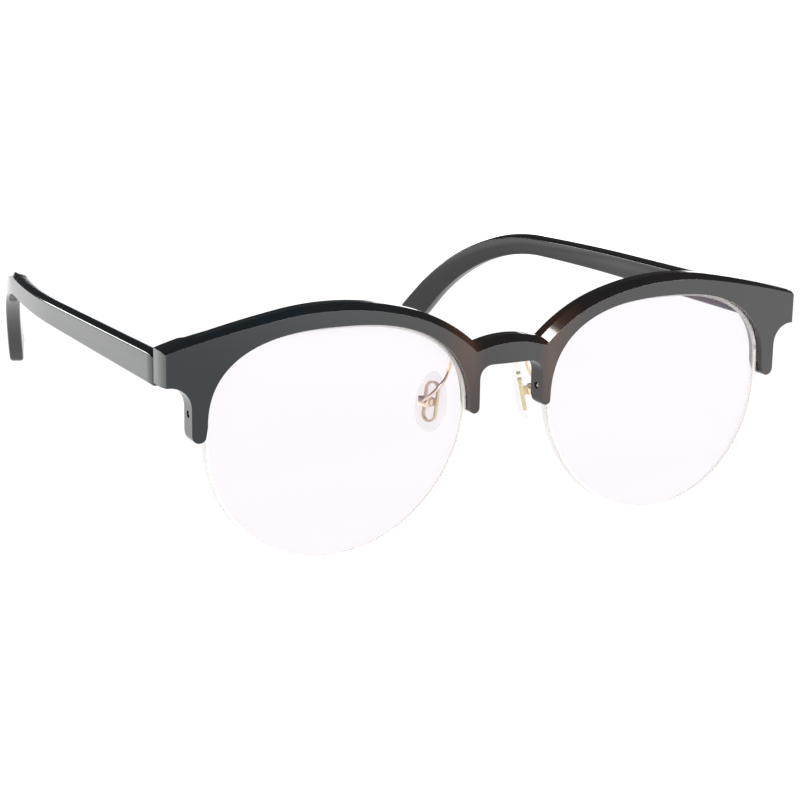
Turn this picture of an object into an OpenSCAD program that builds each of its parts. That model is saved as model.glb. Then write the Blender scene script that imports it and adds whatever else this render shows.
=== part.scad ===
// Half rim eyeglasses: an acetate brow front with a nylon cord under each lens.
// Millimetres. The glasses stand open on the lens bottoms and the ear ends.
// The front faces -Y, the temples run back along +Y, the wearer's left is +X.

/* [Front] */
// Half of the overall width, at the end pieces
half_width = 70; // [68:0.5:74]
// Thickness of the acetate sheet
front_t = 3.8; // [3.4:0.1:4.6]
// Height of the bevel along the top of the brow
bevel_h = 1.3; // [0.6:0.1:1.8]
// Depth of the same bevel
bevel_d = 1.5; // [0.8:0.1:2.2]
// Backward sweep of each half of the front, degrees
wrap = 1.9; // [0:0.1:4]
// Depth of the end piece, from the front plane to the hinge gap
end_depth = 7.45; // [6.8:0.1:9]

/* [Lenses] */
// Lens width
lens_w = 52.8; // [48:0.2:54]
// Height of the lens above its widest line
lens_up = 17.8; // [16:0.2:18.4]
// Depth of the lens below its widest line
lens_down = 26.3; // [20:0.2:32]
// Half of the gap between the two lens openings
lens_gap = 9; // [8.8:0.1:10]
// Lens thickness
lens_t = 2; // [1.8:0.1:2.4]
// Radius of the lens faces
lens_curve = 260; // [220:10:400]
// Height of the cord hole in the outer leg
outer_hole_z = 6.2; // [5:0.1:7.5]
// Height of the cord hole in the nose leg
nose_hole_z = 4.6; // [4:0.1:6]
// Width of the nylon cord
cord_d = 0.54; // [0.4:0.02:0.6]

/* [Temples] */
// Length of the temple along its middle
temple_len = 137; // [130:1:160]
// Thickness of the acetate temple
temple_t = 3.2; // [3:0.1:4]
// Temple height at the hinge
temple_h = 6.4; // [5.6:0.1:7]
// Temple height at the start of the bend
temple_h_bend = 4.7; // [4:0.1:5.6]
// Temple height near the tip
temple_h_tip = 6.6; // [5:0.1:7]
// Radius of the ear bend, along the top edge
bend_r = 51; // [40:1:60]
// Angle of the ear bend
bend_a = 50; // [40:1:60]
// Radius of the inward curve of the ear end
inward_r = 190; // [170:5:320]
// Radius of the core wire
core_r = 0.7; // [0.5:0.05:0.9]

/* [Hinges] */
// Height of the hinge barrel
hinge_h = 4.8; // [4:0.1:5.2]
// Radius of the hinge barrel
barrel_r = 1.1; // [1:0.05:1.2]
// Radius of the hinge screw
screw_r = 0.5; // [0.4:0.05:0.55]

/* [Nose pads] */
// Height of the silicone pad
pad_h = 12; // [10:0.5:13]
// Width of the pad
pad_w = 7; // [6:0.5:7.5]
// Angle of the pad away from straight back
pad_splay = 30; // [20:1:35]
// Lean of the pad top towards the nose
pad_lean = 12; // [6:1:16]
// Radius of the pad arm wire
wire_r = 0.35; // [0.3:0.05:0.45]

/* [Hidden] */
$fn = 64;
gap = 0.1;
mid = front_t / 2;
lens_cx = lens_gap + lens_w / 2;
lens_cz = 2.2;
groove_t = cord_d + 0.06;
// how far the cord lies inside the lens opening
cord_in = gap + cord_d - 0.04;
outer_leg_x = lens_cx + lens_w / 2 + 3.05;
nose_leg_x = lens_gap - 2.05;
// arcs of the brow top: radius and centre, each tangent to the one before
brow_peak = lens_cz + lens_up + 2.9;
peak_r = 56;
nose_r = 34;
side_r = 220;
nose_a = 17;
side_a = 10;
peak_c = [lens_cx + 1.9, brow_peak - peak_r];
nose_c = peak_c + (peak_r - nose_r) * [-sin(nose_a), cos(nose_a)];
side_c = peak_c + (peak_r - side_r) * [sin(side_a), cos(side_a)];
bridge_r = 22;
bridge_top = brow_peak - 8.8;
bridge_low = bridge_top - 3.95;
bridge_x = 7.7;
bridge_a = asin((bridge_x + 0.2) / bridge_r);
nose_end_a = asin((nose_c[0] - bridge_x) / nose_r);
side_end_a = asin((half_width + 0.5 - side_c[0]) / side_r);
end_low = bridge_low + 1.45;
leg_fillet = 4.2;
foot_r = 2.4;
// temple
temple_x = half_width - 0.1;
temple_y = end_depth + gap;
temple_top = end_low + 5.75;
temple_mid_z = temple_top - temple_h / 2;
tail_len = 8.5;
straight_len = temple_len - bend_r * bend_a * PI / 180 - tail_len;
inward_y = 60;
// the core wire stops before the ear bend
core_a = (temple_y + straight_len - inward_y - 5) / inward_r * 180 / PI;
// hinge
hinge_x = temple_x - temple_t - barrel_r - 0.05;
hinge_y = temple_y;
hinge_z = temple_mid_z;
knuckle_h = (hinge_h - 0.2) / 3;
// inner side of the end piece
end_in = hinge_x - barrel_r - 0.1;
// nose pad
pad_pos = [lens_gap + 1.25, 12.8, lens_cz - 1.4];
stem_x = 2.3;
insert_w = min(3, pad_w - 3);
insert_h = pad_h - 4;
// stance: the lens bottoms and the ear ends share the floor
tip_low = side_path(temple_len)[1] - temple_h_tip / 2;
tip_y = side_path(temple_len)[0] - 2;
lens_low = lens_cz - lens_down + gap;
stance = atan2(tip_low - lens_low, tip_y - mid);
lift = -(lens_low * cos(stance) - mid * sin(stance));
back = (tip_y + 4) / 2 * cos(stance) - 0.5;

// point and heading of the temple's middle line in side view, at length s
function side_path(s) =
  let (r = bend_r - temple_h_bend / 2,
       a = min(bend_a, max(0, (s - straight_len) / r * 180 / PI)),
       rest = max(0, s - straight_len - r * bend_a * PI / 180),
       z0 = temple_mid_z)
  [temple_y + min(s, straight_len) + r * sin(a) + rest * cos(bend_a),
   z0 - r * (1 - cos(a)) - rest * sin(bend_a), a];

// temple height at length s
function temple_height(s) = s < straight_len
  ? temple_h + (temple_h_bend - temple_h) * s / straight_len
  : temple_h_bend + (temple_h_tip - temple_h_bend)
    * min(1, (s - straight_len) / (temple_len - straight_len - 6));

function temple_edge(s, side) =
  let (p = side_path(s), h = temple_height(s) / 2 * side)
  [p[0] + h * sin(p[2]), p[1] + h * cos(p[2])];

// lens outline: rounder below than above, grown by g
function lens_point(t, g) =
  let (c = cos(t), s = sin(t), up = s >= 0, n = up ? 0.8 : 1,
       v = pow(abs(s), n), h = (up ? lens_up : lens_down) + g)
  [lens_cx + (lens_w / 2 + g) * sign(c) * pow(abs(c), n) + (up ? 0.7 : 1.5) * v,
   lens_cz + sign(s) * h * v];

module stand() {
  translate([0, -back, lift])
    rotate([-stance, 0, 0])
      children();
}

// side 1 is the wearer's left, side -1 the right
module on_side(side) {
  stand()
    mirror([side < 0 ? 1 : 0, 0, 0])
      children();
}

// a drawing in the plane of one half of the front, from depth a to depth b
module sheet(a, b) {
  rotate([0, 0, wrap])
    translate([0, b, 0])
      rotate([90, 0, 0])
        linear_extrude(b - a)
          children();
}

module lens_shape(g) {
  polygon([for (i = [0:119]) lens_point(i * 3, g)]);
}

module lens_band(g0, g1, t) {
  difference() {
    sheet(mid - t / 2, mid + t / 2)
      lens_shape(g1);
    sheet(mid - t, mid + t)
      lens_shape(g0);
  }
}

// points along an arc of the brow top, from angle a0 to a1 left of the vertical
function brow_arc(c, r, a0, a1, g, n) =
  [for (i = [0:n]) let (a = a0 + (a1 - a0) * i / n)
    [c[0] - (r + g) * sin(a), c[1] + (r + g) * cos(a)]];

// everything under the brow line of one half, grown by g, and by more towards the end piece
module brow_side(g, end_g) {
  arcs = concat(
    brow_arc(nose_c, nose_r, nose_end_a, nose_a, g, 10),
    brow_arc(peak_c, peak_r, nose_a, -side_a, g, 14),
    brow_arc(side_c, side_r, -side_a, -side_end_a, g, 5));
  fade_x = side_c[0] + side_r * sin(side_a) - 12;
  polygon(concat(
    [[bridge_x, -4]],
    [for (p = arcs)
      p + [0, max(0, p[0] - fade_x) / (half_width - fade_x) * (end_g - g)]],
    [[half_width + 1, -4]]));
}

module bridge_side(g) {
  polygon(concat(
    [[-1, 0]],
    brow_arc([0, bridge_top - bridge_r], bridge_r, 3, -bridge_a, g, 8),
    [[bridge_x + 0.5, 0]]));
}

// a slab whose top edge is bevelled at the front
module brow_envelope() {
  intersection() {
    hull() {
      sheet(-0.1, 0)
        brow_side(0, bevel_h * 0.6);
      sheet(bevel_d, 12)
        brow_side(bevel_h, bevel_h);
    }
    sheet(0, 12)
      translate([bridge_x, -10])
        square([half_width - bridge_x, 60]);
  }
  intersection() {
    hull() {
      sheet(-0.1, 0)
        bridge_side(0);
      sheet(bevel_d, 12)
        bridge_side(bevel_h);
    }
    sheet(0, 12)
      translate([-1, -10])
        square([bridge_x + 1.2, 60]);
  }
}

// front view of one half below the brow line
module blank_outline() {
  // bridge and brow
  translate([0, bridge_low])
    square([outer_leg_x, 40]);
  translate([0, end_low])
    square([half_width, 40]);
  // nose leg with its round foot
  translate([nose_leg_x, 2.05])
    square([6, bridge_low]);
  translate([nose_leg_x + 1.05, 2.05])
    circle(r = 1.05);
  // outer leg
  translate([outer_leg_x - 4, 2.5])
    square([4, end_low]);
  translate([outer_leg_x - 1.42, 2.5])
    circle(r = 1.42);
  // fillet under the bridge
  difference() {
    translate([nose_leg_x - 2.6, bridge_low - 2.6])
      square([3, 3]);
    translate([nose_leg_x - 2.6, bridge_low - 2.6])
      circle(r = 2.6);
  }
  // fillet beside the outer leg
  difference() {
    translate([outer_leg_x - 0.5, end_low - leg_fillet])
      square([leg_fillet + 0.5, leg_fillet + 0.5]);
    translate([outer_leg_x + leg_fillet, end_low - leg_fillet])
      circle(r = leg_fillet);
  }
}

module front_half() {
  intersection() {
    brow_envelope();
    union() {
      sheet(0, front_t)
        difference() {
          blank_outline();
          lens_shape(0);
        }
      // end piece that carries the hinge
      sheet(front_t - 1, 12)
        translate([end_in, end_low])
          square([half_width - end_in, 30]);
      // slope from the rim to the end piece
      rotate([0, 0, wrap])
        translate([0, 0, end_low])
          linear_extrude(30)
            polygon([
              [end_in - 3.5, front_t - 0.5],
              [end_in + 0.2, front_t - 0.5],
              [end_in + 0.2, end_depth - end_in * sin(wrap)],
              [end_in, end_depth - end_in * sin(wrap)],
              [end_in - 3.5, front_t]]);
    }
  }
  // pad for the arm root
  pad_boss();
}

module pad_boss() {
  rotate([0, 0, wrap])
    translate([lens_gap, front_t - 0.5, bridge_low + 0.6])
      rotate([-90, 0, 0])
        cylinder(h = 1.4, r = 1.7);
}

module front_cuts() {
  // hinge gap plane
  translate([40, end_depth, -10])
    cube([60, 20, 60]);
  // groove for liner and cord
  lens_band(-0.3, 0.6, groove_t);
  // cord holes through both legs, wider at the mouth
  cord_ends(cord_d / 2 + 0.04, 2);
  hole_mouths();
  // rounded back corner of each foot
  foot_cut(nose_leg_x - 1, 4, 1);
  foot_cut(outer_leg_x - 4, 5, 1.08);
  // pocket for the hinge barrel
  translate([hinge_x, hinge_y, hinge_z - hinge_h / 2 - 0.2])
    cylinder(h = hinge_h + 0.7, r = barrel_r + 0.25);
  translate([hinge_x - barrel_r - 3, hinge_y - 1.15, hinge_z - hinge_h / 2 - 0.2])
    cube([barrel_r + 3.15, 3, hinge_h + 0.7]);
  front_leaf(0.03);
  // socket for the pad arm
  arm_root(0.02);
}

module front_frame() {
  color([0.06, 0.06, 0.065])
    stand()
      for (s = [0, 1])
        mirror([s, 0, 0])
          difference() {
            front_half();
            front_cuts();
            // the halves meet at the middle plane
            translate([-20, -10, -40])
              cube([20, 40, 80]);
          }
}

module hole_mouths() {
  rotate([0, 0, wrap]) {
    translate([nose_leg_x + 0.6, mid, nose_hole_z])
      rotate([0, -90, 0])
        cylinder(h = 3, r = cord_d / 2 + 0.38, $fn = 32);
    translate([outer_leg_x - 0.6, mid, outer_hole_z])
      rotate([0, 90, 0])
        cylinder(h = 3, r = cord_d / 2 + 0.38, $fn = 32);
  }
}

module foot_cut(x, w, foot_z) {
  rotate([0, 0, wrap])
    difference() {
      translate([x, front_t - foot_r, foot_z - 1])
        cube([w, foot_r + 1, foot_r + 1]);
      translate([x - 1, front_t - foot_r, foot_z + foot_r])
        rotate([0, 90, 0])
          cylinder(h = w + 2, r = foot_r);
    }
}

module cord_ends(r, extra) {
  rotate([0, 0, wrap]) {
    translate([lens_gap + 0.5, mid, nose_hole_z])
      rotate([0, -90, 0])
        cylinder(h = lens_gap - nose_leg_x + 0.3 + extra, r = r, $fn = 24);
    translate([outer_leg_x - 3.4, mid, outer_hole_z])
      rotate([0, 90, 0])
        cylinder(h = 3.2 + extra, r = r, $fn = 24);
  }
}

module lens(side) {
  color([0.85, 0.87, 0.9, 0.4])
    on_side(side)
      difference() {
        intersection() {
          sheet(-2, front_t + 2)
            lens_shape(-gap);
          rotate([0, 0, wrap])
            translate([lens_cx, 0, lens_cz - 3])
              difference() {
                translate([0, mid - lens_t / 2 + lens_curve - 0.8, 0])
                  sphere(r = lens_curve, $fn = 128);
                translate([0, mid + lens_t / 2 + lens_curve - 0.8, 0])
                  sphere(r = lens_curve, $fn = 128);
              }
        }
        lens_band(-cord_in - 0.02, 1, groove_t);
      }
}

module lens_cord(side) {
  color([0.93, 0.88, 0.78])
    on_side(side) {
      intersection() {
        lens_band(-cord_in, -gap - 0.01, cord_d);
        union() {
          translate([0, -10, -60])
            cube([lens_cx, 30, 60 + nose_hole_z]);
          translate([lens_cx - 1, -10, -60])
            cube([60, 30, 60 + outer_hole_z]);
        }
      }
      cord_ends(cord_d / 2, 0);
    }
}

module rim_liner(side) {
  color([0.9, 0.9, 0.88])
    on_side(side)
      intersection() {
        lens_band(-cord_in + 0.08, 0.52, groove_t - 0.08);
        union() {
          translate([0, -10, nose_hole_z + 0.5])
            cube([lens_cx, 30, 60]);
          translate([lens_cx - 1, -10, outer_hole_z + 0.5])
            cube([60, 30, 60]);
        }
      }
}

// side view of the temple, seen as length along Y and height along Z
module temple_side_shape() {
  end = side_path(temple_len - temple_h_tip / 2);
  polygon(concat(
    [for (i = [0:40]) temple_edge(i / 40 * (temple_len - temple_h_tip / 2), 1)],
    [for (i = [1:11])
      [end[0] + temple_h_tip / 2 * sin(end[2] + i * 15),
       end[1] + temple_h_tip / 2 * cos(end[2] + i * 15)]],
    [for (i = [40:-1:0]) temple_edge(i / 40 * (temple_len - temple_h_tip / 2), -1)]));
}

// plan view of a strip that runs straight back and then curves inward
module temple_plan(x0, x1) {
  translate([x0, 0])
    square([x1 - x0, inward_y]);
  intersection() {
    translate([temple_x - inward_r, inward_y])
      difference() {
        circle(r = inward_r + x1 - temple_x, $fn = 360);
        circle(r = inward_r + x0 - temple_x, $fn = 360);
      }
    translate([0, inward_y])
      square([100, 150]);
  }
}

module core_shape(r) {
  cx = temple_x - temple_t / 2;
  translate([cx, temple_y + 10, temple_mid_z])
    rotate([-90, 0, 0])
      cylinder(h = inward_y - temple_y - 10, r = r, $fn = 32);
  translate([temple_x - inward_r, inward_y, temple_mid_z])
    rotate_extrude(angle = core_a, $fn = 360)
      translate([cx - temple_x + inward_r, 0])
        circle(r = r, $fn = 32);
}

module temple(side) {
  color([0.07, 0.07, 0.075])
    on_side(side)
      difference() {
        intersection() {
          translate([0, 0, -60])
            linear_extrude(120)
              temple_plan(temple_x - temple_t, temple_x);
          rotate([90, 0, 90])
            linear_extrude(100)
              temple_side_shape();
        }
        core_shape(core_r + 0.03);
        temple_leaf(0.03);
      }
}

module temple_core(side) {
  color([0.7, 0.7, 0.72])
    on_side(side)
      core_shape(core_r);
}

module barrel(z0, h, r) {
  translate([hinge_x, hinge_y, hinge_z + z0])
    cylinder(h = h, r = r, $fn = 48);
}

// leaf let into the inner side of the end piece
module front_leaf(g) {
  translate([hinge_x - barrel_r - g, end_depth - 4.2 - g, hinge_z - hinge_h / 2 - g])
    cube([barrel_r + 0.1 + 2 * g, 3.2 + 2 * g, hinge_h + 2 * g]);
}

module front_hinge(side) {
  color([0.75, 0.75, 0.77])
    on_side(side)
      difference() {
        union() {
          front_leaf(0);
          for (k = [0, 2])
            intersection() {
              union() {
                barrel(-hinge_h / 2 + k * (knuckle_h + 0.1), knuckle_h, barrel_r);
                translate([hinge_x - barrel_r, end_depth - 1.1,
                    hinge_z - hinge_h / 2 + k * (knuckle_h + 0.1)])
                  cube([barrel_r + 0.1, 1.2, knuckle_h]);
              }
              translate([hinge_x - 5, hinge_y - 5, hinge_z - 10])
                cube([10, 10, 20]);
            }
        }
        // room for the middle barrel of the temple side
        barrel(-knuckle_h / 2 - 0.1, knuckle_h + 0.2, barrel_r + 0.12);
        barrel(-10, 20, screw_r + 0.02);
      }
}

// leaf let into the inner face of the temple
module temple_leaf(g) {
  translate([hinge_x + 0.2 - g, hinge_y + 2.2 - g, hinge_z - 1.7 - g])
    cube([barrel_r + 0.65 + 2 * g, 6 + 2 * g, 3.4 + 2 * g]);
}

module temple_hinge(side) {
  color([0.75, 0.75, 0.77])
    on_side(side)
      difference() {
        union() {
          temple_leaf(0);
          barrel(-knuckle_h / 2, knuckle_h, barrel_r);
          translate([hinge_x + 0.2, hinge_y, hinge_z - knuckle_h / 2])
            cube([barrel_r - 0.2, 3, knuckle_h]);
        }
        barrel(-10, 20, screw_r + 0.02);
      }
}

module hinge_screw(side) {
  color([0.8, 0.8, 0.82])
    on_side(side)
      difference() {
        union() {
          barrel(-hinge_h / 2, hinge_h, screw_r);
          barrel(hinge_h / 2, 0.35, 0.85);
        }
        translate([hinge_x - 1, hinge_y - 0.1, hinge_z + hinge_h / 2 + 0.15])
          cube([2, 0.2, 1]);
      }
}

// places its children at one nose pad: x away from the nose, y along the pad width
module at_pad() {
  translate(pad_pos)
    rotate([0, 0, -pad_splay])
      rotate([0, -pad_lean, 0])
        children();
}

function pad_to_world(p) =
  let (x1 = p[0] * cos(pad_lean) - p[2] * sin(pad_lean),
       z1 = p[0] * sin(pad_lean) + p[2] * cos(pad_lean))
  [pad_pos[0] + x1 * cos(pad_splay) + p[1] * sin(pad_splay),
   pad_pos[1] - x1 * sin(pad_splay) + p[1] * cos(pad_splay),
   pad_pos[2] + z1];

module wire(a, b, r) {
  d = b - a;
  len = norm(d);
  translate(a)
    rotate([0, acos(d[2] / len), atan2(d[1], d[0])])
      cylinder(h = len, r = r, $fn = 24);
}

arm_start = [lens_gap - 0.1, front_t + 1, bridge_low + 0.9];

module arm_root(g) {
  translate([arm_start[0], front_t - 2.2 - g, arm_start[2]])
    rotate([-90, 0, 0])
      cylinder(h = 4.2, r = wire_r + 0.15 + g, $fn = 32);
}

module pad_arm(side) {
  boxed = pad_to_world([stem_x + 1.3, 0, 0]);
  pts = [arm_start + [0, 0.6, 0],
    [lens_gap - 0.2, 7.6, bridge_low + 0.1],
    [lens_gap - 0.3, 8.9, bridge_low - 2],
    [lens_gap + 0.6, 9.1, bridge_low - 4.4],
    [lens_gap + 2.8, 9.5, bridge_low - 6.8],
    boxed];
  color([0.83, 0.68, 0.4])
    on_side(side) {
      arm_root(0);
      for (i = [0:len(pts) - 2]) {
        wire(pts[i], pts[i + 1], wire_r);
        translate(pts[i])
          sphere(r = wire_r + 0.05, $fn = 32);
      }
      // box that holds the pad stem
      at_pad()
        difference() {
          translate([1.35, -1, -1])
            cube([2.3, 2, 2]);
          translate([1, -0.55, -2])
            cube([2.2, 1.1, 4]);
          pad_pin(0.37, 4);
        }
    }
}

module pad_pin(r, h) {
  translate([stem_x, h / 2, 0])
    rotate([90, 0, 0])
      cylinder(h = h, r = r, $fn = 24);
}

module pad_screw(side) {
  color([0.83, 0.68, 0.4])
    on_side(side)
      at_pad() {
        pad_pin(0.35, 2.2);
        translate([stem_x, -1, 0])
          rotate([90, 0, 0])
            cylinder(h = 0.35, r = 0.6, $fn = 32);
      }
}

// long ring of the insert, seen along the stem
module insert_ring(g) {
  difference() {
    insert_oval(g);
    insert_oval(-0.4 - g);
  }
}

module insert_oval(g) {
  half_run = insert_h / 2 - insert_w / 2;
  translate([0, half_run])
    circle(r = insert_w / 2 + g);
  translate([0, -half_run])
    circle(r = insert_w / 2 + g);
  translate([-insert_w / 2 - g, -half_run])
    square([insert_w + 2 * g, 2 * half_run]);
}

// stiff insert: a long ring, a cross bar, and the stem the screw passes through
module insert_shape(g) {
  translate([-0.25 - g, 0, 0])
    rotate([90, 0, 90])
      linear_extrude(0.8 + 2 * g)
        insert_ring(g);
  translate([-0.25 - g, -insert_w / 2 + 0.2, -0.8 - g])
    cube([0.8 + 2 * g, insert_w - 0.4, 1.6 + 2 * g]);
  translate([0.2, -0.45 - g, -0.8 - g])
    cube([stem_x - 0.2, 0.9 + 2 * g, 1.6 + 2 * g]);
}

module pad_insert(side) {
  color([0.85, 0.75, 0.55])
    on_side(side)
      at_pad()
        difference() {
          union() {
            insert_shape(0);
            translate([stem_x, 0.45, 0])
              rotate([90, 0, 0])
                cylinder(h = 0.9, r = 0.8, $fn = 32);
          }
          pad_pin(0.37, 6);
        }
}

module nose_pad(side) {
  color([0.9, 0.92, 0.93, 0.6])
    on_side(side)
      at_pad()
        difference() {
          intersection() {
            translate([-1.4, 0, 0])
              rotate([90, 0, 90])
                linear_extrude(2.4)
                  polygon([for (i = [0:47])
                    [pad_w / 2 * cos(i * 7.5), pad_h / 2 * sin(i * 7.5)]]);
            translate([12.6, 0, 0])
              sphere(r = 14, $fn = 96);
          }
          insert_shape(0.02);
        }
}

front_frame();
lens(1);  // lens_left
lens(-1);  // lens_right
lens_cord(1);  // lens_cord_left
lens_cord(-1);  // lens_cord_right
rim_liner(1);  // rim_liner_left
rim_liner(-1);  // rim_liner_right
temple(1);  // temple_left
temple(-1);  // temple_right
temple_core(1);  // temple_core_left
temple_core(-1);  // temple_core_right
front_hinge(1);  // front_hinge_left
front_hinge(-1);  // front_hinge_right
temple_hinge(1);  // temple_hinge_left
temple_hinge(-1);  // temple_hinge_right
hinge_screw(1);  // hinge_screw_left
hinge_screw(-1);  // hinge_screw_right
pad_arm(1);  // pad_arm_left
pad_arm(-1);  // pad_arm_right
nose_pad(1);  // nose_pad_left
nose_pad(-1);  // nose_pad_right
pad_insert(1);  // pad_insert_left
pad_insert(-1);  // pad_insert_right
pad_screw(1);  // pad_screw_left
pad_screw(-1);  // pad_screw_right
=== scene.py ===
import bpy
import bmesh
import math
from mathutils import Matrix, Vector


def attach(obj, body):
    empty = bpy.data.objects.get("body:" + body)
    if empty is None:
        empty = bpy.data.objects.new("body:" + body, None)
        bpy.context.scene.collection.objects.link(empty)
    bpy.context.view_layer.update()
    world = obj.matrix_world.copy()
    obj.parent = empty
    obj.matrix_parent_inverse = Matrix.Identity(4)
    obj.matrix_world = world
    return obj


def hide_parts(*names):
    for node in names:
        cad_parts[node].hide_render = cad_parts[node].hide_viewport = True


# %% [markdown]
# # Half rim eyeglasses
# A pair of half rim glasses has a solid acetate brow along the top of each lens and nothing but a thin nylon cord
# below. The solid frame comes in first, because every piece built here has to sit on it.

# %% Load the frame
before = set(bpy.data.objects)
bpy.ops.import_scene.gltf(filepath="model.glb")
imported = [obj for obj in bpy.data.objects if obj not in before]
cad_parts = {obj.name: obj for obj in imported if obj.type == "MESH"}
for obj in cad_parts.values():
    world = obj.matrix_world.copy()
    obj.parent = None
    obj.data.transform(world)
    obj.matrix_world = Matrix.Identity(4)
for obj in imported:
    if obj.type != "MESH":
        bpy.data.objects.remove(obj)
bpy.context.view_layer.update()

# %% [markdown]
# The glasses were drawn as worn, with the temples level, and then tipped until the lens bottoms and the ear ends
# touch the floor. One function does that tip, so each piece can be drawn in plain worn millimetres.

# %% Worn millimetres to standing metres
STANCE = math.radians(4.07806)
TIP = Matrix.Translation((0, -0.068123, 0.024074)) @ Matrix.Rotation(-STANCE, 4, "X")
STAND = TIP @ Matrix.Scale(0.001, 4)
WRAP = Matrix.Rotation(math.radians(1.9), 4, "Z")
MIRROR = Matrix.Scale(-1, 4, (1, 0, 0))
SIDES = {"left": Matrix.Identity(4), "right": MIRROR}


def stand(side):
    return STAND @ SIDES[side]


print("floor height of the worn origin:", round(STAND.translation.z * 1000, 2), "mm")

# %% [markdown]
# Small helpers come next: one closes a mesh and gives it a name and a material, one lofts a skin through a row of
# rings. Lofting is how the temples, the wires and the cords are made, since each is one section carried along a path.

# %% Mesh helpers


def finish_mesh(name, bm, material, matrix, body, auto=None):
    bmesh.ops.remove_doubles(bm, verts=bm.verts, dist=1e-5)
    bmesh.ops.transform(bm, matrix=matrix, verts=bm.verts)
    bmesh.ops.recalc_face_normals(bm, faces=bm.faces)
    mesh = bpy.data.meshes.new(name)
    bm.to_mesh(mesh)
    bm.free()
    for p in mesh.polygons:
        p.use_smooth = True
    if auto is not None:
        mesh.set_sharp_from_angle(angle=math.radians(auto))
    obj = bpy.data.objects.new(name, mesh)
    bpy.context.scene.collection.objects.link(obj)
    for m in (material if isinstance(material, list) else [material]):
        mesh.materials.append(m)
    if body:
        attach(obj, body)
    return obj


def loft(bm, rings):
    rows = [[bm.verts.new(p) for p in ring] for ring in rings]
    for a, b in zip(rows, rows[1:]):
        n = len(a)
        for i in range(n):
            bm.faces.new((a[i], a[(i + 1) % n], b[(i + 1) % n], b[i]))
    bm.faces.new(rows[0])
    bm.faces.new(list(reversed(rows[-1])))


def smooth_path(points, steps):
    pts = [Vector(p) for p in points]
    ext = [pts[0] * 2 - pts[1]] + pts + [pts[-1] * 2 - pts[-2]]
    out = []
    for k in range(len(pts) - 1):
        p0, p1, p2, p3 = ext[k:k + 4]
        for i in range(steps):
            t = i / steps
            out.append(0.5 * (2 * p1 + (p2 - p0) * t + (2 * p0 - 5 * p1 + 4 * p2 - p3) * t * t
                              + (3 * p1 - p0 - 3 * p2 + p3) * t ** 3))
    return out + [pts[-1]]


def tube(bm, path, radius, sides, taper=None):
    rings = []
    up = Vector((0.13, 0.21, 0.97))
    for i, p in enumerate(path):
        d = (path[min(i + 1, len(path) - 1)] - path[max(i - 1, 0)]).normalized()
        a = (up - d * up.dot(d)).normalized()
        b = d.cross(a)
        up = a
        r = radius if taper is None else radius * taper(i / (len(path) - 1))
        rings.append([p + (a * math.cos(t) + b * math.sin(t)) * r
                      for t in [2 * math.pi * k / sides for k in range(sides)]])
    loft(bm, rings)


def bevel_hard(bm, width, segments, angle=30):
    bmesh.ops.remove_doubles(bm, verts=bm.verts, dist=1e-5)
    bmesh.ops.recalc_face_normals(bm, faces=bm.faces)
    edges = [e for e in bm.edges if len(e.link_faces) == 2 and e.calc_face_angle() > math.radians(angle)]
    bmesh.ops.bevel(bm, geom=edges, offset=width, offset_type="OFFSET", segments=segments, profile=0.5,
                    affect="EDGES", clamp_overlap=True, material=-1)


def block(bm, lo, hi):
    made = bmesh.ops.create_cube(bm, size=1.0)["verts"]
    size = Vector(hi) - Vector(lo)
    bmesh.ops.transform(bm, matrix=Matrix.Translation((Vector(lo) + Vector(hi)) / 2)
                        @ Matrix.Diagonal((*size, 1)), verts=made)


print("helpers ready")

# %% [markdown]
# Shader maths is easier to read as plain arithmetic, so a small class wraps a node's output. Adding or multiplying
# two of them makes the Math node.

# %% Shader helpers


class Sock:
    def __init__(self, tree, out):
        self.tree, self.out = tree, out

    def math(self, op, other=None, clamp=False):
        node = self.tree.nodes.new("ShaderNodeMath")
        node.operation = op
        node.use_clamp = clamp
        self.tree.links.new(self.out, node.inputs[0])
        if isinstance(other, Sock):
            self.tree.links.new(other.out, node.inputs[1])
        elif other is not None:
            node.inputs[1].default_value = other
        return Sock(self.tree, node.outputs[0])

    def __add__(self, o):
        return self.math("ADD", o)

    __radd__ = __add__

    def __mul__(self, o):
        return self.math("MULTIPLY", o)

    __rmul__ = __mul__

    def __sub__(self, o):
        return self.math("SUBTRACT", o)

    def __rsub__(self, o):
        return self.math("MULTIPLY", -1.0) + o


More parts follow.
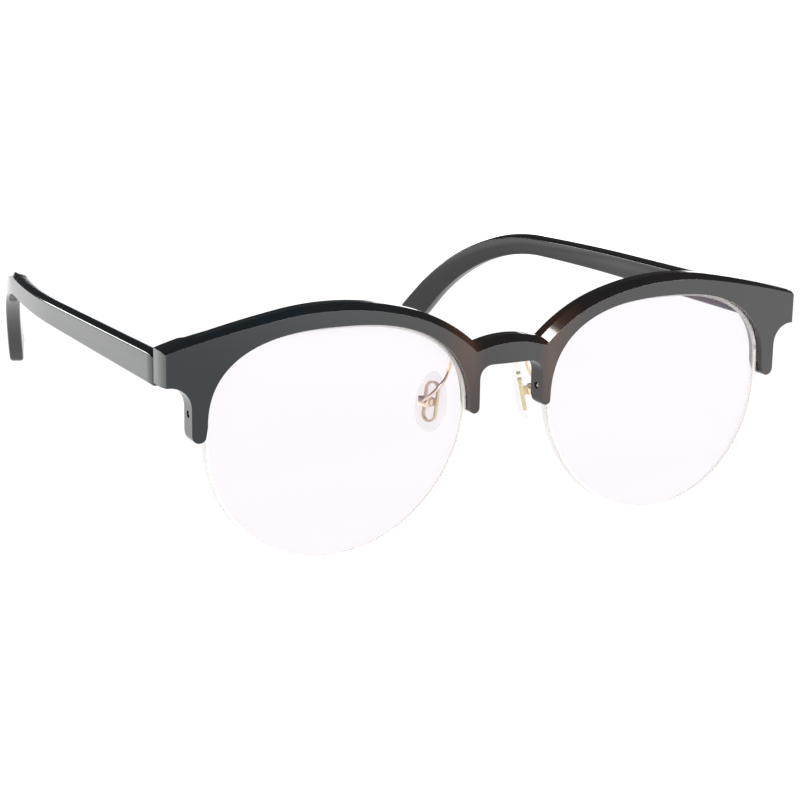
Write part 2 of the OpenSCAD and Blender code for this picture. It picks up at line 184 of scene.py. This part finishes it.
class Shade:
    def __init__(self, name):
        self.mat = bpy.data.materials.new(name)
        self.mat.use_nodes = True
        self.tree = self.mat.node_tree
        self.bsdf = self.tree.nodes["Principled BSDF"]
        self.coords = self.tree.nodes.new("ShaderNodeTexCoord")

    def place(self):
        return Sock(self.tree, self.coords.outputs["Object"])

    def node(self, kind, links=None, out=0, **values):
        n = self.tree.nodes.new(kind)
        for key, value in values.items():
            if key in n.inputs:
                n.inputs[key].default_value = value
            else:
                setattr(n, key, value)
        for key, sock in (links or {}).items():
            self.tree.links.new(sock.out, n.inputs[key])
        return Sock(self.tree, n.outputs[out])

    def noise(self, scale, detail=3.0, rough=0.55):
        return self.node("ShaderNodeTexNoise", {"Vector": self.place()},
                         Scale=scale, Detail=detail, Roughness=rough)

    def colour(self, fac, a, b):
        n = self.tree.nodes.new("ShaderNodeMix")
        n.data_type = "RGBA"
        for slot, value in ((6, a), (7, b)):
            if isinstance(value, Sock):
                self.tree.links.new(value.out, n.inputs[slot])
            else:
                n.inputs[slot].default_value = (*value, 1)
        self.tree.links.new(fac.out, n.inputs[0])
        return Sock(self.tree, n.outputs[2])

    def into(self, **socks):
        for key, sock in socks.items():
            self.tree.links.new(sock.out, self.bsdf.inputs[key.replace("_", " ")])
        return self

    def fixed(self, **values):
        for key, value in values.items():
            self.bsdf.inputs[key.replace("_", " ")].default_value = value
        return self

    def bump(self, height, strength, distance):
        n = self.tree.nodes.new("ShaderNodeBump")
        n.inputs["Strength"].default_value = strength
        n.inputs["Distance"].default_value = distance
        self.tree.links.new(height.out, n.inputs["Height"])
        self.tree.links.new(n.outputs[0], self.bsdf.inputs["Normal"])
        return self


print("shader helpers ready")

# %% [markdown]
# ## Materials
# Polished acetate is black, but hand polishing leaves broad soft ripples and a few hair fine swirls, so its
# roughness and its surface wander a little. By the nose legs it is a very dark brown, and the right brow is bluish.

# %% Acetate


def make_acetate(name, tint):
    s = Shade(name)
    broad = s.noise(90.0, 2.0)
    fine = s.noise(2600.0, 4.0, 0.6)
    place = s.node("ShaderNodeSeparateXYZ", {"Vector": s.place()})
    x = Sock(place.tree, place.out.node.outputs["X"])
    wide = x.math("ABSOLUTE")
    near_nose = (0.0165 - wide).math("MULTIPLY", 160.0, True) * (wide - 0.006).math("MULTIPLY", 400.0, True)
    far_right = (x * -1 - 0.012).math("MULTIPLY", 30.0, True)
    base = s.colour(broad, (0.0035, 0.0035, 0.004), tint)
    base = s.colour(near_nose * broad, base, (0.042, 0.017, 0.009))
    s.into(Base_Color=s.colour(far_right * 0.8, base, (0.003, 0.0062, 0.0085)))
    s.into(Roughness=(fine * 0.05 + broad * 0.06 + 0.05))
    s.bump(broad * 0.8 + fine * 0.05, 0.06, 0.0006)
    s.fixed(IOR=1.49, Coat_Weight=0.25, Coat_Roughness=0.03)
    return s.mat


acetate = make_acetate("Black acetate", (0.009, 0.0075, 0.0068))
temple_acetate = make_acetate("Black acetate, temple", (0.0075, 0.0075, 0.008))
print("acetate:", acetate.name)

# %% [markdown]
# The lens is a clear demo lens. What shows is a very faint lilac veil from its anti-reflection film, a soft
# reflection, and the ground edge, which is frosted and so much paler and more solid than the faces.

# %% Lens, nylon, silicone


def make_lens():
    s = Shade("Clear lens")
    veil = s.noise(35.0, 1.0)
    s.into(Base_Color=s.colour(veil, (0.3, 0.16, 0.3), (0.36, 0.24, 0.33)))
    s.into(Alpha=veil * 0.02 + 0.07)
    s.fixed(Roughness=0.03, IOR=1.5, Coat_Weight=1.0, Coat_Roughness=0.02)
    return s.mat


def make_lens_edge():
    s = Shade("Ground lens edge")
    grit = s.noise(3000.0, 3.0)
    s.into(Base_Color=s.colour(grit, (0.72, 0.7, 0.7), (0.9, 0.88, 0.87)))
    s.into(Alpha=grit * 0.25 + 0.3)
    s.into(Roughness=grit * 0.3 + 0.35)
    s.bump(grit, 0.3, 0.00005)
    return s.mat


def make_nylon():
    s = Shade("Nylon")
    grain = s.noise(1800.0, 3.0)
    s.into(Base_Color=s.colour(grain, (0.9, 0.82, 0.7), (0.97, 0.93, 0.86)))
    s.into(Roughness=grain * 0.15 + 0.25)
    s.into(Alpha=grain * 0.2 + 0.6)
    return s.mat


def make_silicone():
    s = Shade("Clear silicone")
    cloud = s.noise(400.0, 3.0)
    s.into(Base_Color=s.colour(cloud, (0.6, 0.53, 0.48), (0.74, 0.69, 0.65)))
    s.into(Roughness=cloud * 0.12 + 0.12)
    s.into(Alpha=cloud * 0.08 + 0.09)
    s.bump(cloud, 0.05, 0.0003)
    s.fixed(IOR=1.41, Coat_Weight=0.4)
    return s.mat


lens_glass, lens_edge = make_lens(), make_lens_edge()
nylon, silicone = make_nylon(), make_silicone()
print("clear materials:", lens_glass.name, lens_edge.name, nylon.name, silicone.name)

# %% [markdown]
# The metal parts are two: pale gold plate on the pad arms and their screws, and plain nickel silver on the hinges.
# Both carry fine drawing or turning marks that catch the light.

# %% Metals


def make_metal(name, a, b, rough, scale):
    s = Shade(name)
    marks = s.noise(scale, 4.0, 0.65)
    cloud = s.noise(220.0, 2.0)
    s.into(Base_Color=s.colour(cloud, a, b))
    s.into(Roughness=marks * 0.18 + rough)
    s.bump(marks, 0.12, 0.00004)
    s.fixed(Metallic=1.0)
    return s.mat


gold = make_metal("Pale gold plate", (0.86, 0.7, 0.5), (0.95, 0.82, 0.64), 0.22, 2400.0)
nickel = make_metal("Nickel silver", (0.55, 0.54, 0.52), (0.7, 0.69, 0.67), 0.2, 1900.0)


def make_insert():
    s = Shade("Pad insert")
    cloud = s.noise(700.0, 3.0)
    s.into(Base_Color=s.colour(cloud, (0.62, 0.5, 0.28), (0.8, 0.69, 0.45)))
    s.into(Roughness=cloud * 0.2 + 0.25)
    s.fixed(Metallic=0.6)
    return s.mat


insert_mat = make_insert()
print("metals:", gold.name, nickel.name)

# %% [markdown]
# ## The front
# The front is cut from one sheet of acetate, so it starts as one outline: the brow, the bridge, the two legs of each
# side and the open lens shapes. The lens shape is a rounded curve that is fuller below than above.

# %% Outline of one half
T = 3.8
MID = T / 2
LENS_W, LENS_UP, LENS_DOWN, LENS_GAP = 52.8, 17.8, 26.3, 9.0
LENS_X, LENS_Z = LENS_GAP + LENS_W / 2, 2.2
LEG_X, NOSE_X, HALF = LENS_X + LENS_W / 2 + 3.05, LENS_GAP - 2.05, 70.0
PEAK_Z = LENS_Z + LENS_UP + 2.9
BRIDGE_TOP = PEAK_Z - 8.8
BRIDGE_LOW = BRIDGE_TOP - 3.95
END_LOW = BRIDGE_LOW + 1.45
END_DEPTH = 7.45


def lens_point(t, g=0.0):
    c, s = math.cos(t), math.sin(t)
    up = s >= 0
    n = 0.8 if up else 1.0
    v = abs(s) ** n
    h = (LENS_UP if up else LENS_DOWN) + g
    x = LENS_X + (LENS_W / 2 + g) * math.copysign(abs(c) ** n, c) + (0.7 if up else 1.5) * v
    return x, LENS_Z + math.copysign(h * v, s)


def arc(cx, cz, r, a0, a1, n):
    return [(cx + r * math.cos(math.radians(a0 + (a1 - a0) * i / n)),
             cz + r * math.sin(math.radians(a0 + (a1 - a0) * i / n))) for i in range(n + 1)]


def brow_line():
    pr, nr, sr = 56.0, 34.0, 220.0
    pc = (LENS_X + 1.9, PEAK_Z - pr)
    na, sa = 17.0, 10.0
    rad = math.radians
    nc = (pc[0] - (pr - nr) * math.sin(rad(na)), pc[1] + (pr - nr) * math.cos(rad(na)))
    sc = (pc[0] + (pr - sr) * math.sin(rad(sa)), pc[1] + (pr - sr) * math.cos(rad(sa)))
    a_end = math.degrees(math.asin((nc[0] - 7.7) / nr))
    s_end = math.degrees(math.asin((HALF - sc[0]) / sr))
    out = arc(*nc, nr, 90 + a_end, 90 + na, 22)
    out += arc(*pc, pr, 90 + na, 90 - sa, 30)[1:]
    out += arc(*sc, sr, 90 - sa, 90 - s_end, 14)[1:]
    return out


bridge = arc(0, BRIDGE_TOP - 22.0, 22.0, 90, 90 - math.degrees(math.asin(7.7 / 22.0)), 10)
brow = brow_line()
aperture = [lens_point(math.radians(a)) for a in range(0, 181, 3)]
print("brow peak", round(PEAK_Z, 1), "mm, bridge top", round(BRIDGE_TOP, 1), "mm")

# %% [markdown]
# The half outline runs along the bridge and brow, down the end piece, round the outer leg, over the lens opening and
# back round the nose leg. The top edge carries a broad polished bevel, so the outline is carried on three levels.

# %% Front body


def half_outline():
    top = bridge[:-1] + brow
    end = [(HALF, END_LOW + 0.01)]
    fil = arc(LEG_X + 4.2, END_LOW - 4.2, 4.2, 90, 180, 10)
    foot = arc(LEG_X - 1.42, 2.5, 1.42, 0, -150, 9)
    lens = [p for p in aperture if p[1] > 2.6]
    nose = arc(NOSE_X + 1.05, 2.05, 1.05, -20, -180, 9)
    under = arc(NOSE_X - 2.6, BRIDGE_LOW - 2.6, 2.6, 0, 90, 7)
    return top, end + fil + foot + lens + nose + under + [(0, BRIDGE_LOW)]


def half_front():
    top, rest = half_outline()
    n_top = len(top)
    pts = top + rest
    lift = []
    for i in range(n_top):
        a, b = Vector(pts[max(i - 1, 0)]), Vector(pts[min(i + 1, n_top - 1)])
        d = (b - a).normalized()
        n = Vector((-d.y, d.x))
        if i in (0, n_top - 1):
            n = Vector((0, 1))
        lift.append(n)
    # the notch where bridge meets brow keeps a straight way up
    k = len(bridge) - 1
    lift[k] = Vector((0.0, 1.0))

    def fade(x):
        return min(1.0, max(0.0, (x - 38.0) / 32.0)) * 0.6

    def level(depth, grow, ease=False):
        out = []
        for i, p in enumerate(pts):
            rise = grow if not ease else 1.3 * fade(p[0])
            q = Vector(p) + (lift[i] * rise if i < n_top else Vector((0, 0)))
            if ease and p[0] > HALF - 0.6:
                q.x -= 0.45
            out.append(Vector((q.x, depth, q.y)))
        return out

    bm = bmesh.new()
    levels = [level(0.0, 0.0, True), level(1.5, 1.3), level(T, 1.3)]
    rows = [[bm.verts.new(v) for v in lv] for lv in levels]
    n = len(pts)
    for a, b in zip(rows, rows[1:]):
        for i in range(n - 1):
            bm.faces.new((a[i], a[i + 1], b[i + 1], b[i]))
    bm.faces.new(rows[0])
    # the back is one face up to a slope that rises to the end piece
    ia = max(i for i in range(n_top) if pts[i][0] < LEG_X - 4.0)
    ib = next(i for i in range(n_top, n) if pts[i][1] < END_LOW - 0.6)
    inner = bm.verts.new((pts[ia][0], T, END_LOW))
    back = rows[2][:ia + 1] + [inner] + rows[2][ib:]
    bm.faces.new(back)

    crest = next(v.co.z for v in rows[2][ia:] if v.co.x >= 64.35)

    def deep(v):
        x = max(v.co.x, 64.35 - (64.35 - v.co.x) * 0.06)
        z = min(v.co.z, crest + (64.35 - x) * 0.3) if v.co.x < 64.35 else v.co.z
        return bm.verts.new((x, END_DEPTH - x * math.sin(math.radians(1.9)) - 0.02, max(z, END_LOW)))

    deep_out = [deep(v) for v in rows[2][ia:ib + 1]]
    deep_in = deep(inner)
    for i in range(ib - ia):
        bm.faces.new((rows[2][ia + i], rows[2][ia + i + 1], deep_out[i + 1], deep_out[i]))
    bm.faces.new((rows[2][ia], deep_out[0], deep_in, inner))
    bm.faces.new((inner, deep_in, deep_out[-1], rows[2][ib]))
    bm.faces.new(deep_out + [deep_in])
    bmesh.ops.transform(bm, matrix=WRAP, verts=bm.verts)
    for v in bm.verts:
        if abs(v.co.x) < 0.16 and v.co.z > 5:
            v.co.x = 0.0
    return bm


def join_halves(make):
    bm = make()
    geom = bm.verts[:] + bm.edges[:] + bm.faces[:]
    bmesh.ops.mirror(bm, geom=geom, matrix=Matrix.Identity(4), merge_dist=0.001, axis="X")
    bmesh.ops.remove_doubles(bm, verts=bm.verts, dist=0.002)
    bmesh.ops.recalc_face_normals(bm, faces=bm.faces)
    return bm


front_bm = join_halves(half_front)
open_edges = [e for e in front_bm.edges if len(e.link_faces) != 2]
print("front mesh:", len(front_bm.verts), "points,", len(open_edges), "open edges")

# %% [markdown]
# Tumbling and hand polishing leave no sharp edge, so every edge gets a small round. Then the small things are cut
# in: the cord hole of each leg, narrow and then wide, and the round at the back of each leg's foot. The hinges and
# the roots of the pad arms get no pocket or socket here, so they run into the front.

# %% Polish and drill the front
bevel_hard(front_bm, 0.42, 4, 25)
front = finish_mesh("brow_front", front_bm, acetate, STAND, "front", auto=35)


def as_cutter(bm, matrix):
    bmesh.ops.transform(bm, matrix=matrix, verts=bm.verts)
    bmesh.ops.recalc_face_normals(bm, faces=bm.faces)
    mesh = bpy.data.meshes.new("cutter")
    bm.to_mesh(mesh)
    bm.free()
    obj = bpy.data.objects.new("cutter", mesh)
    bpy.context.scene.collection.objects.link(obj)
    return obj


def drill(matrix, radius, depth):
    bm = bmesh.new()
    bmesh.ops.create_cone(bm, cap_ends=True, segments=32, radius1=radius, radius2=radius, depth=depth)
    return as_cutter(bm, matrix)


def foot_round(matrix, x, w, foot, radius):
    # the waste outside the round back corner of a leg, drawn in side view and carried across the leg
    side = [(T + 1, foot - 1), (T - radius, foot - 1)]
    side += arc(T - radius, foot + radius, radius, -90, 0, 10)
    side += [(T + 1, foot + radius)]
    bm = bmesh.new()
    loft(bm, [[Vector((xx, y, z)) for y, z in side] for xx in (x, x + w)])
    return as_cutter(bm, matrix)


def carve(obj, cutters):
    for c in cutters:
        mod = obj.modifiers.new("cut", "BOOLEAN")
        mod.operation = "DIFFERENCE"
        mod.solver = "EXACT"
        mod.object = c
    even = obj.modifiers.new("even shading", "WEIGHTED_NORMAL")
    even.mode = "FACE_AREA"
    even.weight = 100
    even.keep_sharp = True
    graph = bpy.context.evaluated_depsgraph_get()
    mesh = bpy.data.meshes.new_from_object(obj.evaluated_get(graph))
    old = obj.data
    obj.modifiers.clear()
    obj.data = mesh
    bpy.data.meshes.remove(old)
    for c in cutters:
        bpy.data.objects.remove(c)


FOOT_R = 2.4
quarter = Matrix.Rotation(math.radians(90), 4, "Y")
cuts = []
for side in SIDES:
    w = stand(side) @ WRAP
    for x, z, d in ((LEG_X, 6.2, 1), (NOSE_X, 4.6, -1)):
        cuts.append(drill(w @ Matrix.Translation((x - d * 1.2, MID, z)) @ quarter, 0.4, 2.6))
        cuts.append(drill(w @ Matrix.Translation((x + d * 1.4, MID, z)) @ quarter, 0.68, 4.0))
    cuts += [foot_round(w, NOSE_X - 1.03, 4.17, 0.97, FOOT_R), foot_round(w, LEG_X - 4, 5, 1.08, FOOT_R)]
carve(front, cuts)
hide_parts("front_frame")
print("front after drilling:", len(front.data.polygons), "faces")

# %% [markdown]
# ## Temples
# Each temple is one acetate stick, heated and bent twice: down behind the ear and in towards the head. Its section
# is a rounded rectangle with a flat along its top outer corner and a top that falls inward. It is deep at the hinge,
# slimmest where the ear bend starts and deep again at the tip.

# %% Temple path
TEMPLE_X, TEMPLE_T, TEMPLE_LEN = 69.9, 3.2, 137.0
H0, H1, H2 = 6.4, 4.7, 6.6
BEND_R, BEND_A, IN_R, IN_Y = 51.0, 50.0, 190.0, 60.0
TEMPLE_Y = END_DEPTH + 0.1
TOP_Z = END_LOW + 5.75
MID_Z = TOP_Z - H0 / 2
STRAIGHT = TEMPLE_LEN - BEND_R * math.radians(BEND_A) - 8.5


def side_path(s):
    r = BEND_R - H1 / 2
    a = min(math.radians(BEND_A), max(0.0, (s - STRAIGHT) / r))
    rest = max(0.0, s - STRAIGHT - r * math.radians(BEND_A))
    y = TEMPLE_Y + min(s, STRAIGHT) + r * math.sin(a) + rest * math.cos(math.radians(BEND_A))
    z = MID_Z - r * (1 - math.cos(a)) - rest * math.sin(math.radians(BEND_A))
    return y, z, a


def temple_height(s):
    if s < STRAIGHT:
        return H0 + (H1 - H0) * s / STRAIGHT
    return H1 + (H2 - H1) * min(1.0, (s - STRAIGHT) / (TEMPLE_LEN - STRAIGHT - 6))


def inward(y):
    if y < IN_Y:
        return 0.0, 0.0
    d = y - IN_Y
    return IN_R - math.sqrt(IN_R ** 2 - d * d), math.asin(d / IN_R)


def temple_ring(s, shrink=0.0):
    y, z, a = side_path(s)
    h = temple_height(s) / 2 - shrink
    w = TEMPLE_T / 2 - min(shrink, TEMPLE_T / 2 - 0.12)
    k = min(1.0, w / 1.6, h / 2.2)
    # from the outer face: a flat along its top edge, a top that falls inward, the inner face
    # each corner has its own round
    corners = [(w, -h, 0.55), (w, h - 1.0 * k, 0.3), (w - 0.95 * k, h, 0.3),
               (-w, h - 0.5 * k, 0.45), (-w, -h, 0.55)]
    pts = []
    for i, (cu, cv, r) in enumerate(corners):
        c = Vector((cu, cv))
        before = (Vector(corners[i - 1][:2]) - c).normalized()
        after = (Vector(corners[(i + 1) % 5][:2]) - c).normalized()
        for f in (0.0, 0.25, 0.5, 0.75, 1.0):
            p = c + before * (r * k * (1 - f) ** 2) + after * (r * k * f * f)
            py, pz = y + p.y * math.sin(a), z + p.y * math.cos(a)
            off, ang = inward(py)
            x = TEMPLE_X - TEMPLE_T / 2 - off + p.x * math.cos(ang)
            pts.append(Vector((x, py + p.x * math.sin(ang), pz)))
    return pts


def make_temple(side):
    rings = [temple_ring(0.0, 0.3), temple_ring(0.09, 0.13), temple_ring(0.3, 0.0)]
    rings += [temple_ring(3 + 1.5 * i) for i in range(int((TEMPLE_LEN - 7) / 1.5))]
    tip = TEMPLE_LEN - 3.4
    for i in range(10):
        t = math.radians(i * 10 + 2)
        rings.append(temple_ring(tip + 2.95 * math.sin(t) - 0.1, 2.95 * (1 - math.cos(t))))
    bm = bmesh.new()
    loft(bm, rings)
    obj = finish_mesh("acetate_temple_" + side, bm, temple_acetate, stand(side), "temple_" + side, auto=40)
    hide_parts("temple_" + side, "temple_core_" + side)
    return obj


temples = [make_temple(s) for s in SIDES]
print("temple faces:", [len(t.data.polygons) for t in temples])

# %% [markdown]
# ## Lenses, cord and liner
# A lens blank is a shallow dish, surfaced on both sides and then edged to the frame's outline. A groove runs round
# the edge: the liner fills it above and the nylon cord lies in it below.

# %% Lens bodies
CURVE = 260.0


def lens_mesh(side):
    bm = bmesh.new()
    n, rings = 144, 14
    angles = [2 * math.pi * i / n for i in range(n)]
    cx, cz = LENS_X, LENS_Z - 3

    def sag(x, z):
        return CURVE - math.sqrt(CURVE ** 2 - (x - cx) ** 2 - (z - cz) ** 2) - 0.8

    def ring(f, face):
        out = []
        for t in angles:
            x, z = lens_point(t, -0.1)
            x, z = cx + (x - cx) * f, cz + (z - cz) * f
            y = MID + face + sag(x, z)
            out.append(Vector((x, y, z)))
        return out

    fs = [(1 - (1 - k / rings) ** 1.6) for k in range(1, rings + 1)]
    rims = []
    for face in (-1, 1):
        rows = [[bm.verts.new(v) for v in ring(f, face)] for f in fs]
        centre = bm.verts.new((cx, MID + face - 0.8, cz))
        for i in range(n):
            bm.faces.new((centre, rows[0][i], rows[0][(i + 1) % n]))
        for a, b in zip(rows, rows[1:]):
            for i in range(n):
                bm.faces.new((a[i], a[(i + 1) % n], b[(i + 1) % n], b[i]))
        rims.append(rows[-1])
    outer = [rims[0]]
    for off, g in ((-0.72, 0.0), (-0.3, 0.0), (-0.27, -0.5), (0.27, -0.5), (0.3, 0.0), (0.72, 0.0)):
        row = []
        for t in angles:
            x, z = lens_point(t, -0.1 + g)
            full = sag(*lens_point(t, -0.1))
            y = MID + (full if abs(off) > 0.5 else 0.0) + off
            row.append(bm.verts.new((x, y, z)))
        outer.append(row)
    outer.append(rims[1])
    edge = []
    for a, b in zip(outer, outer[1:]):
        for i in range(n):
            edge.append(bm.faces.new((a[i], a[(i + 1) % n], b[(i + 1) % n], b[i])))
    for f in edge:
        f.material_index = 1
    obj = finish_mesh("edged_lens_" + side, bm, [lens_glass, lens_edge], stand(side) @ WRAP, "front", auto=30)
    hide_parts("lens_" + side)
    return obj


lenses = [lens_mesh(s) for s in SIDES]
print("lens faces:", [len(o.data.polygons) for o in lenses])

# %% [markdown]
# The cord is one length of nylon. It starts in the nose leg's hole, turns down into the groove, runs round under
# the lens and goes out through the hole in the outer leg. A hot iron flattens each end so it cannot slip back.

# %% Nylon cord


def cord(side):
    low = []
    for k in range(0, 121):
        t = math.radians(180 - 8 + k * (196.0 / 120))
        low.append(lens_point(t, -0.36))
    low = [p for p in low if (p[0] < LENS_X and p[1] < 4.3) or (p[0] >= LENS_X and p[1] < 5.9)]
    path = [Vector((x, MID, z)) for x, z in low]
    start = [Vector((NOSE_X + 0.27, MID, 4.6)), Vector((NOSE_X + 1.1, MID, 4.6)), Vector((9.2, MID, 4.6)),
             Vector((9.42, MID, 4.5))]
    x_end = path[-1].x
    end = [Vector((x_end - 0.02, MID, 6.12)), Vector((x_end + 0.2, MID, 6.2)),
           Vector((LEG_X - 1.2, MID, 6.2)), Vector((LEG_X - 0.27, MID, 6.2))]
    bm = bmesh.new()
    tube(bm, start + path + end, 0.27, 12)
    for x, z, d in ((NOSE_X, 4.6, -1), (LEG_X, 6.2, 1)):
        tube(bm, [Vector((x - d * f, MID, z)) for f in (0.62, 0.5, 0.38, 0.27)],
             0.42, 16, lambda f: 0.8 + 0.2 * math.sin(f * math.pi))
    obj = finish_mesh("nylon_cord_" + side, bm, nylon, stand(side) @ WRAP, "front", auto=50)
    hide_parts("lens_cord_" + side)
    return obj


def liner(side):
    pts = [lens_point(math.radians(a), 0.02) for a in range(0, 181, 2)]
    pts = [p for p in pts if (p[0] < LENS_X and p[1] > 5.1) or (p[0] >= LENS_X and p[1] > 6.7)]
    bm = bmesh.new()
    tube(bm, [Vector((x, MID, z)) for x, z in pts], 0.3, 10)
    obj = finish_mesh("groove_liner_" + side, bm, nylon, stand(side) @ WRAP, "front", auto=50)
    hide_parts("rim_liner_" + side)
    return obj


cords = [cord(s) for s in SIDES] + [liner(s) for s in SIDES]
print("cord and liner faces:", [len(o.data.polygons) for o in cords])

# %% [markdown]
# ## Nose pads
# The pad arm is one bent wire. Its root is pressed into the back of the front, it swings in and down in a short S,
# and it ends in a small open box. The stem of the pad sits in that box on a screw, so the pad can rock.

# %% Pad arms and pads
PAD = Vector((LENS_GAP + 1.25, 12.8, LENS_Z - 1.4))
PAD_TURN = (Matrix.Translation(PAD) @ Matrix.Rotation(math.radians(-30), 4, "Z")
            @ Matrix.Rotation(math.radians(-12), 4, "Y"))
ARM = Vector((LENS_GAP - 0.1, T + 1.0, BRIDGE_LOW + 0.9))


def pad_arm(side):
    bm = bmesh.new()
    goal = PAD_TURN @ Vector((3.4, 0, 0))
    pts = [(ARM.x, 2.4, ARM.z), (ARM.x, 4.8, ARM.z), (LENS_GAP - 0.1, 5.8, BRIDGE_LOW + 0.85),
           (LENS_GAP - 0.2, 7.6, BRIDGE_LOW + 0.1),
           (LENS_GAP - 0.3, 8.9, BRIDGE_LOW - 2), (LENS_GAP + 0.6, 9.1, BRIDGE_LOW - 4.4),
           (LENS_GAP + 2.8, 9.5, BRIDGE_LOW - 6.8), tuple(goal)]
    tube(bm, smooth_path(pts, 8), 0.34, 14)
    # root collar
    tube(bm, [Vector((ARM.x, y, ARM.z)) for y in (T - 0.4, T + 0.75, T + 0.95)], 0.5, 20,
         lambda f: 1.0 if f < 0.9 else 0.8)
    box = bmesh.new()
    block(box, (3.2, -1.0, -1.0), (3.65, 1.0, 1.0))
    block(box, (1.35, -1.0, -1.0), (3.2, -0.55, 1.0))
    block(box, (1.35, 0.55, -1.0), (3.2, 1.0, 1.0))
    bevel_hard(box, 0.12, 2)
    bmesh.ops.transform(box, matrix=PAD_TURN, verts=box.verts)
    mesh = bpy.data.meshes.new("box")
    box.to_mesh(mesh)
    box.free()
    bm.from_mesh(mesh)
    bpy.data.meshes.remove(mesh)
    obj = finish_mesh("wire_pad_arm_" + side, bm, gold, stand(side), "front", auto=35)
    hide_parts("pad_arm_" + side)
    return obj


def nose_pad(side):
    bm = bmesh.new()
    n = 48
    rings = []
    prof = [(-1.38, 0.02), (-1.36, 0.25), (-1.28, 0.5), (-1.1, 0.72), (-0.8, 0.88), (-0.4, 0.97), (0.0, 1.0),
            (0.4, 0.985), (0.72, 0.93), (0.9, 0.82), (0.96, 0.6), (0.97, 0.3), (0.97, 0.02)]
    for x, f in prof:
        ring = []
        for k in range(n):
            t = 2 * math.pi * k / n
            c, s = math.cos(t), math.sin(t)
            egg = 1.0 - 0.14 * s
            ring.append(Vector((x, 3.4 * f * c * egg, 5.9 * f * s)))
        rings.append(ring)
    loft(bm, rings)
    obj = finish_mesh("silicone_pad_" + side, bm, silicone, stand(side) @ PAD_TURN,
                      "nose_pad_" + side, auto=60)
    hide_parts("nose_pad_" + side)
    return obj


arms = [pad_arm(s) for s in SIDES]
pads = [nose_pad(s) for s in SIDES]
print("pad arm and pad faces:", [len(o.data.polygons) for o in arms + pads])

# %% [markdown]
# The hinges, their screws, the pad screws and the pad inserts are small turned and milled pieces. Their solids from
# the frame are exact already, so they only need their metal.

# %% Small metal pieces
for side in SIDES:
    for kind, mat in (("front_hinge", nickel), ("temple_hinge", nickel), ("hinge_screw", nickel),
                      ("pad_screw", gold), ("pad_insert", insert_mat)):
        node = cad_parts[kind + "_" + side]
        node.data.materials.clear()
        node.data.materials.append(mat)
print("painted the hinge halves, screws and inserts of", len(SIDES), "sides")

# %% [markdown]
# ## Studio
# A pale floor fills the picture and glows by itself, so nothing stands in a shadow. Polished black acetate shows
# what it mirrors, so the floor glows more where the sides mirror it: behind, to the wearer's right, and in front, to
# the wearer's left. Three soft boxes give the highlights, and the room above is dark, which keeps the bevels black.

# %% Floor and lights


floor_bm = bmesh.new()
bmesh.ops.create_grid(floor_bm, x_segments=1, y_segments=1, size=6.0)
floor_shade = Shade("Pale floor")
spot = floor_shade.node("ShaderNodeSeparateXYZ", {"Vector": floor_shade.place()})
floor_x = Sock(spot.tree, spot.out.node.outputs["X"])
floor_y = Sock(spot.tree, spot.out.node.outputs["Y"])
right_side = (floor_x * -1 - 0.06).math("MULTIPLY", 18.0, True)
left_side = (floor_x - 0.02).math("MULTIPLY", 10.0, True)
not_right = (floor_x + 0.06).math("MULTIPLY", 30.0, True)
in_front = (floor_y * -1 - 0.09).math("MULTIPLY", 20.0, True)
behind = (floor_y - 0.085).math("MULTIPLY", 14.0, True)
glow = right_side * 0.2 + left_side * in_front * 0.22 + behind * not_right * 0.24 + 0.245
floor_shade.into(Emission_Color=glow)
floor_shade.fixed(Base_Color=(0.05, 0.05, 0.05, 1), Roughness=0.95, Specular_IOR_Level=0.0)
floor_shade.fixed(Emission_Strength=4.0)
floor = finish_mesh("floor", floor_bm, floor_shade.mat, Matrix.Identity(4), None)


def lamp(name, place, target, size, size_y, power):
    data = bpy.data.lights.new(name, "AREA")
    data.shape = "RECTANGLE"
    data.size = size
    data.size_y = size_y
    data.energy = power
    obj = bpy.data.objects.new(name, data)
    bpy.context.scene.collection.objects.link(obj)
    obj.location = place
    obj.rotation_euler = (Vector(target) - Vector(place)).to_track_quat("-Z", "Y").to_euler()
    return obj


lamp("Shoulder box", (-0.47, -0.52, 1.05), (0, -0.06, 0.03), 0.42, 0.36, 11)
lamp("Front strip", (0.45, -1.35, 0.78), (0, -0.06, 0.03), 1.8, 0.42, 45)
lamp("Back bar", (-0.68, 1.1, 0.24), (0, 0, 0.03), 0.7, 0.12, 3)
world = bpy.data.worlds.new("Dark room")
bpy.context.scene.world = world
world.use_nodes = True
world.node_tree.nodes["Background"].inputs[0].default_value = (1, 1, 1, 1)
world.node_tree.nodes["Background"].inputs[1].default_value = 0.06
bpy.context.scene.view_settings.view_transform = "Standard"

# %% [markdown]
# The camera stands in front and to the wearer's right, a little above the glasses, with a long lens. The near
# temple reaches to the left edge of the picture and the far one shows over the brow.

# %% Camera
cam_data = bpy.data.cameras.new("Camera")
cam_data.sensor_width = 36.0
cam_data.lens = 88.9
cam_data.dof.use_dof = False
camera = bpy.data.objects.new("Camera", cam_data)
bpy.context.scene.collection.objects.link(camera)
right = Vector((0.87488704, -0.48403635, 0.01677737)).normalized()
look_back = Vector((-0.47343582, -0.84739502, 0.24037514)).normalized()
up = look_back.cross(right)
turn = Matrix((right, up, look_back)).transposed().to_4x4()
worn_camera = Matrix.Translation((-0.196493, -0.308149, 0.092846)) @ turn
camera.matrix_world = TIP @ worn_camera
bpy.context.scene.camera = camera
print("camera at", [round(v, 3) for v in camera.location])
